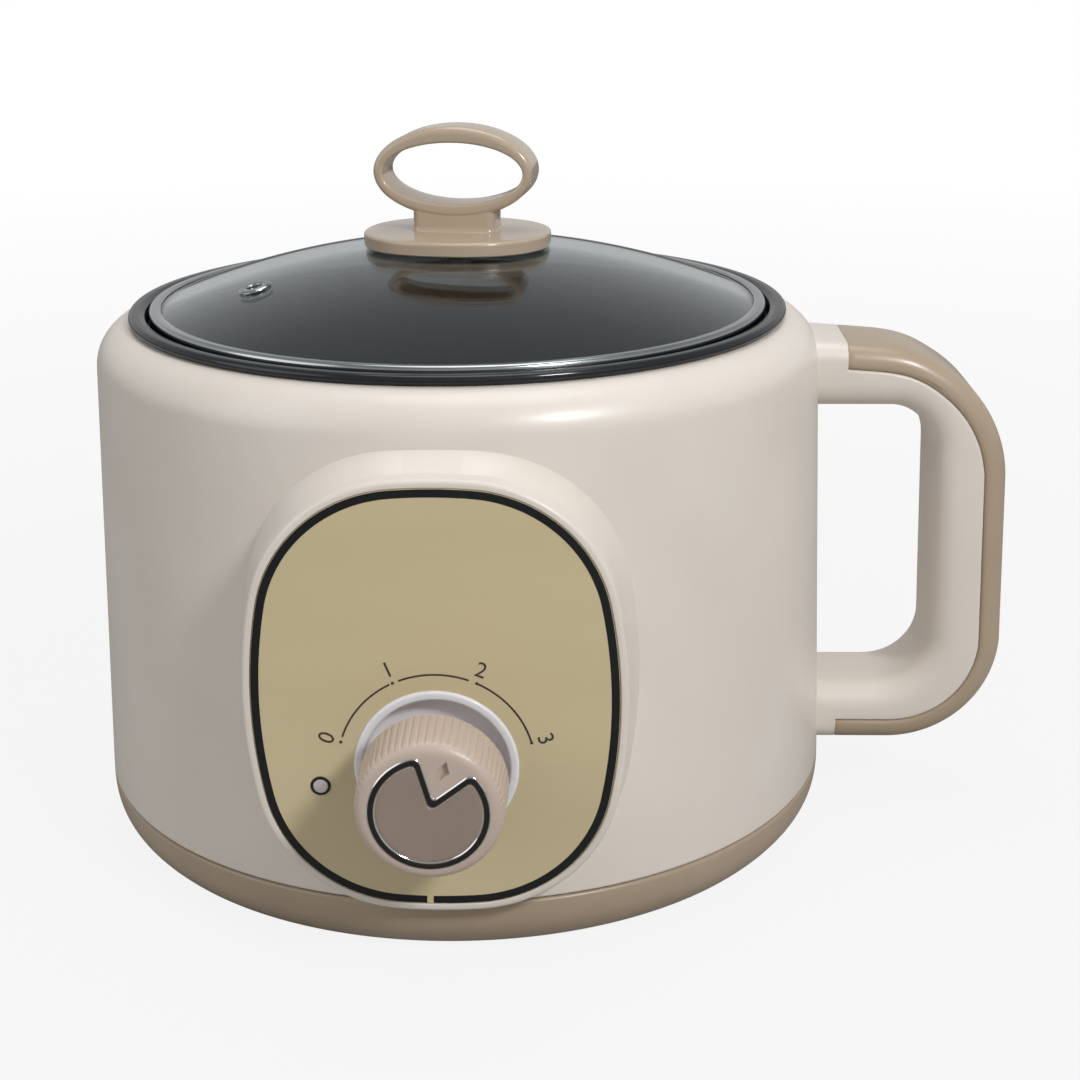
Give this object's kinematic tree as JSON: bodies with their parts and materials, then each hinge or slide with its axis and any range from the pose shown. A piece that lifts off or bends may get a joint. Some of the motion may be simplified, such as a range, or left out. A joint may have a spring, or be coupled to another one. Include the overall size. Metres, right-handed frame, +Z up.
{
  "type": "electric hot pot",
  "caption": "Countertop electric hot pot: tapered housing with a dial panel on a raised boss, side handle, fixed cooking pot and a lift-off glass lid with a loop knob.",
  "frame": {"origin": "on the pot's axis, at the level of the table under the feet", "axes": "+Z up, front with the dial panel towards -Y, handle towards +X"},
  "size_m": [0.2743, 0.258, 0.2073],
  "materials": {
    "cream_plastic": "satin moulded shell",
    "taupe_plastic": "satin moulded base and grip cover",
    "foot_rubber": "soft feet",
    "screw_steel": "zinc-plated fasteners",
    "pot_coating": "glossy black non-stick coating on pressed metal",
    "cast_plate": "cast and machined",
    "terminal_steel": "tube ends",
    "thermostat_body": "moulded disc thermostat",
    "strap_steel": "pressed sheet",
    "fuse_sleeve": "woven sleeve over a fuse",
    "lid_pane": "clear tempered pane",
    "band_steel": "polished stainless band and eyelet",
    "knob_plastic": "satin moulded knob",
    "gasket_rubber": "silicone washer",
    "panel_gold": "satin champagne panel",
    "white_plastic": "white moulding",
    "ring_chrome": "bright plated band",
    "insert_plastic": "smooth moulded insert",
    "dark_plastic": "dark moulding",
    "lens_plastic": "milky lens",
    "bulb_glass": "neon bulb",
    "pin_brass": "plated blades",
    "lead_sheath": "silicone-sheathed leads"
  },
  "bodies": {
    "housing": {"outer_shell": "cream_plastic", "handle_core": "cream_plastic", "base_tray": "taupe_plastic", "handle_cover": "taupe_plastic", "rubber_feet": "foot_rubber", "base_screws": "screw_steel", "handle_screws": "screw_steel", "clip_screws": "screw_steel", "strap_screws": "screw_steel", "inlet_screws": "screw_steel", "pot_studs": "screw_steel", "stud_nuts": "screw_steel", "switch_nut": "screw_steel", "inner_pot": "pot_coating", "heater_plate": "cast_plate", "heater_terminals": "terminal_steel", "thermostat": "thermostat_body", "thermostat_clip": "strap_steel", "pot_strap": "strap_steel", "thermal_fuse": "fuse_sleeve", "control_panel": "panel_gold", "knob_cup": "white_plastic", "terminal_block": "white_plastic", "rotary_switch": "dark_plastic", "lamp_ring": "dark_plastic", "power_inlet": "dark_plastic", "lamp_lens": "lens_plastic", "neon_bulb": "bulb_glass", "inlet_pins": "pin_brass", "inlet_leads": "lead_sheath", "switch_leads": "lead_sheath", "heater_leads": "lead_sheath"},
    "lid": {"lid_glass": "lid_pane", "lid_band": "band_steel", "vent_eyelet": "band_steel", "lid_knob_plate": "knob_plastic", "lid_knob_loop": "knob_plastic", "lid_gasket": "gasket_rubber", "lid_washer": "screw_steel", "lid_screw": "screw_steel"},
    "dial_knob": {"knob": "knob_plastic", "knob_ring": "ring_chrome", "knob_insert": "insert_plastic", "switch_shaft": "screw_steel"}
  },
  "joints": [
    {"name": "lid_lift", "type": "slide", "parent": "housing", "child": "lid", "axis": [0, 0, 1], "range_m": [0, 0.15]},
    {"name": "knob_turn", "type": "hinge", "parent": "housing", "child": "dial_knob", "pos_m": [0, -0.1157, 0.0595], "axis": [0, -1, 0], "range_deg": [-56.5, 93.5]}
  ]
}
